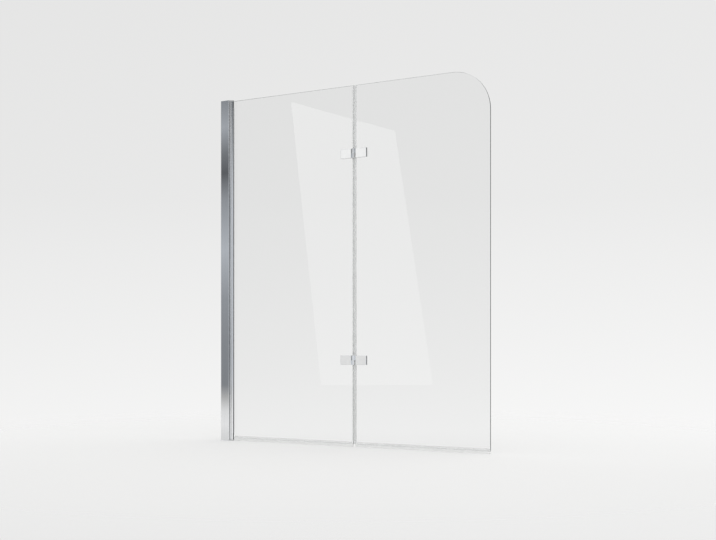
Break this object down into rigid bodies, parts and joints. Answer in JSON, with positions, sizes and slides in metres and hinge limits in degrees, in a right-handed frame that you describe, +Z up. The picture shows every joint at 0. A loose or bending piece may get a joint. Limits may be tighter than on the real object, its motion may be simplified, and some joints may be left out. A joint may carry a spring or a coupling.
{
  "type": "folding bath screen",
  "caption": "Folding glass bath screen: a slim wall channel with a turning upright, hinged clear panels, a large round free corner, and clear seals at the fold and the bottom edge.",
  "frame": {"origin": "on the wall plane, at the foot of the wall channel and in the middle plane of the glass", "axes": "+X away from the wall along the closed screen, -Y the side of the hinge barrels that faces the picture's camera, +Z up"},
  "size_m": [1.2, 0.0331, 1.4],
  "materials": {
    "polished_aluminium": "polished",
    "chrome_hinge": "polished",
    "steel_fixing": "satin",
    "clear_glass": "clear",
    "clear_seal": "clear, slightly milky",
    "grey_plastic": "satin",
    "dark_plastic": "satin",
    "white_nylon": "satin",
    "soft_rubber": "matte"
  },
  "bodies": {
    "wall_frame": {"wall_channel": "polished_aluminium", "carrier_profile": "polished_aluminium", "wiper_seal": "soft_rubber", "lower_pivot_block": "grey_plastic", "upper_pivot_block": "grey_plastic", "lower_pivot_bush": "white_nylon", "upper_pivot_bush": "white_nylon", "lock_screws": "steel_fixing", "lock_screw_covers": "grey_plastic"},
    "inner_panel": {"pivot_upright": "polished_aluminium", "lower_pivot_pin": "dark_plastic", "upper_pivot_pin": "dark_plastic", "glazing_gasket": "soft_rubber", "inner_glass": "clear_glass", "inner_drip_seal": "clear_seal", "inner_edge_seal": "clear_seal", "lower_hinge_inner_leaf": "chrome_hinge", "lower_hinge_inner_front_pad": "soft_rubber", "lower_hinge_inner_back_pad": "soft_rubber", "lower_hinge_inner_clamp": "chrome_hinge", "upper_hinge_inner_leaf": "chrome_hinge", "upper_hinge_inner_front_pad": "soft_rubber", "upper_hinge_inner_back_pad": "soft_rubber", "upper_hinge_inner_clamp": "chrome_hinge", "lower_hinge_washer": "white_nylon", "lower_hinge_pin": "steel_fixing", "upper_hinge_washer": "white_nylon", "upper_hinge_pin": "steel_fixing", "inner_clamp_sleeves": "soft_rubber", "inner_clamp_screws": "steel_fixing"},
    "outer_panel": {"outer_glass": "clear_glass", "outer_drip_seal": "clear_seal", "outer_edge_seal": "clear_seal", "lower_hinge_outer_leaf": "chrome_hinge", "lower_hinge_outer_front_pad": "soft_rubber", "lower_hinge_outer_back_pad": "soft_rubber", "lower_hinge_outer_clamp": "chrome_hinge", "upper_hinge_outer_leaf": "chrome_hinge", "upper_hinge_outer_front_pad": "soft_rubber", "upper_hinge_outer_back_pad": "soft_rubber", "upper_hinge_outer_clamp": "chrome_hinge", "outer_clamp_sleeves": "soft_rubber", "outer_clamp_screws": "steel_fixing"}
  },
  "joints": [
    {"name": "wall_pivot", "type": "hinge", "parent": "wall_frame", "child": "inner_panel", "pos_m": [0.0495, 0, 0], "axis": [0, 0, 1], "range_deg": [-90, 90]},
    {"name": "panel_fold", "type": "hinge", "parent": "inner_panel", "child": "outer_panel", "pos_m": [0.632, -0.0115, 0], "axis": [0, 0, -1], "range_deg": [0, 180]}
  ]
}
